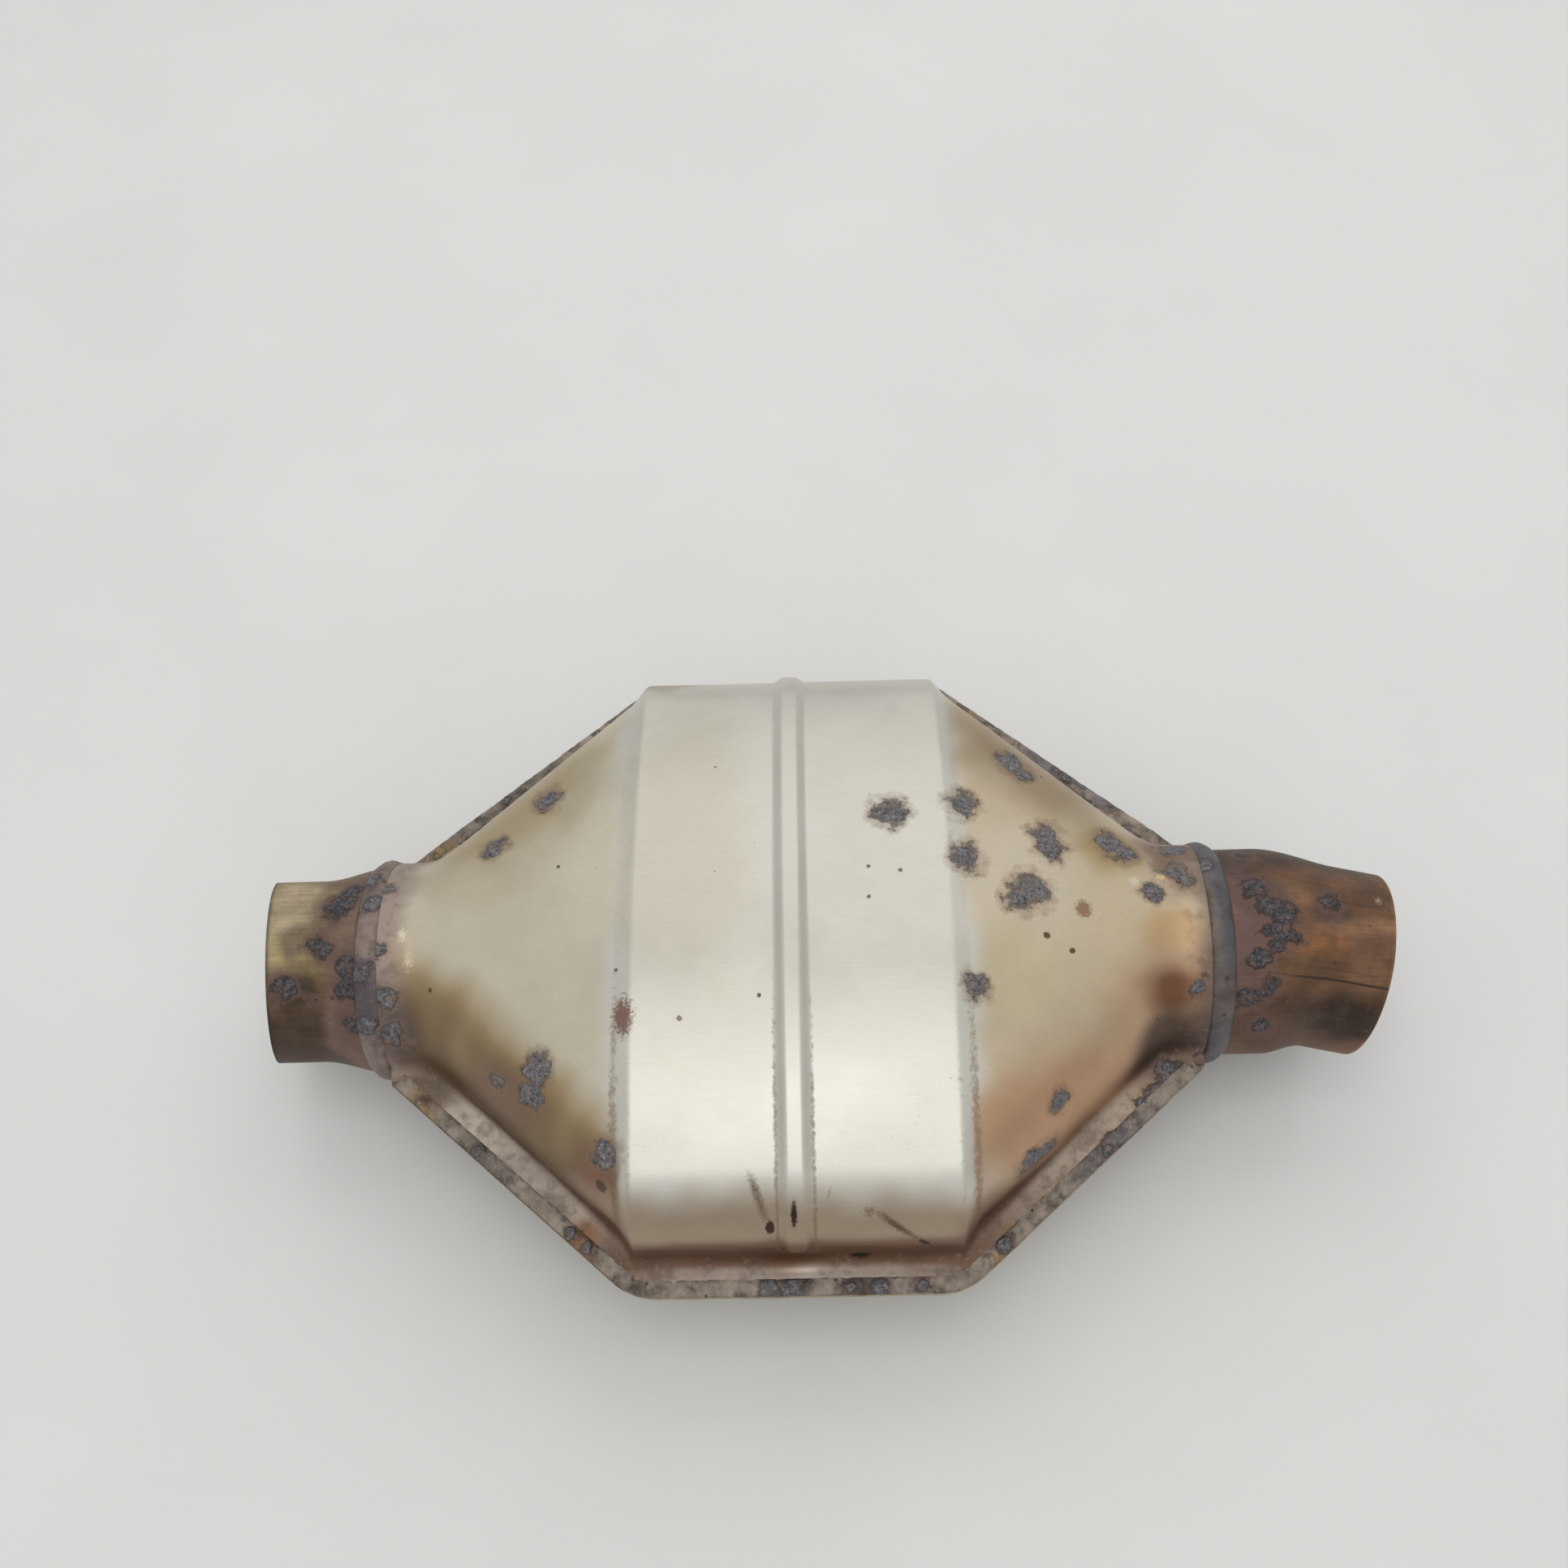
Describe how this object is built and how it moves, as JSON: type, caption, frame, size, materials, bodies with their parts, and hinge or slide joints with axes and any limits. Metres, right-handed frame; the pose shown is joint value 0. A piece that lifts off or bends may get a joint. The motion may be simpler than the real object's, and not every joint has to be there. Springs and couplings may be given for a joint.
{
  "type": "catalytic converter",
  "caption": "Clamshell catalytic converter with a stamped oval can round a ceramic honeycomb brick, cones each side and a swaged pipe stub welded into each neck.",
  "frame": {"origin": "centre of the inlet stub's sawn mouth, on the axis of both necks, which lies in the plane where the half shells meet", "axes": "+X runs with the gas from the inlet to the outlet, +Z out of the upper half shell and square to the flange, so +Y lies across the can in the plane of the flange"},
  "size_m": [0.3397, 0.203, 0.0924],
  "materials": {
    "upper_shell_steel": "heat-tinted stamped stainless sheet, straw to brown",
    "lower_shell_steel": "heat-tinted stamped stainless sheet, taupe",
    "seam_weld_steel": "rough weld bead with scale and rust",
    "inlet_pipe_steel": "olive-brown heat scale",
    "outlet_pipe_steel": "copper-brown heat scale with axial streaks",
    "ring_weld_steel": "blue-grey scaled weld",
    "brick_ceramic": "matt washcoated ceramic",
    "mat_fibre": "pressed swelling fibre mat",
    "seal_wire": "knitted steel wire",
    "inner_cone_steel": "scaled stainless sheet",
    "insulation_fibre": "white moulded fibre"
  },
  "bodies": {
    "root": {"upper_shell": "upper_shell_steel", "lower_shell": "lower_shell_steel", "front_seam_weld": "seam_weld_steel", "rear_seam_weld": "seam_weld_steel", "inlet_pipe": "inlet_pipe_steel", "outlet_pipe": "outlet_pipe_steel", "inlet_ring_weld": "ring_weld_steel", "outlet_ring_weld": "ring_weld_steel", "monolith": "brick_ceramic", "support_mat": "mat_fibre", "inlet_mesh_seal": "seal_wire", "outlet_mesh_seal": "seal_wire", "inlet_inner_cone": "inner_cone_steel", "outlet_inner_cone": "inner_cone_steel", "inlet_upper_insulation": "insulation_fibre", "inlet_lower_insulation": "insulation_fibre", "outlet_upper_insulation": "insulation_fibre", "outlet_lower_insulation": "insulation_fibre"}
  },
  "joints": []
}
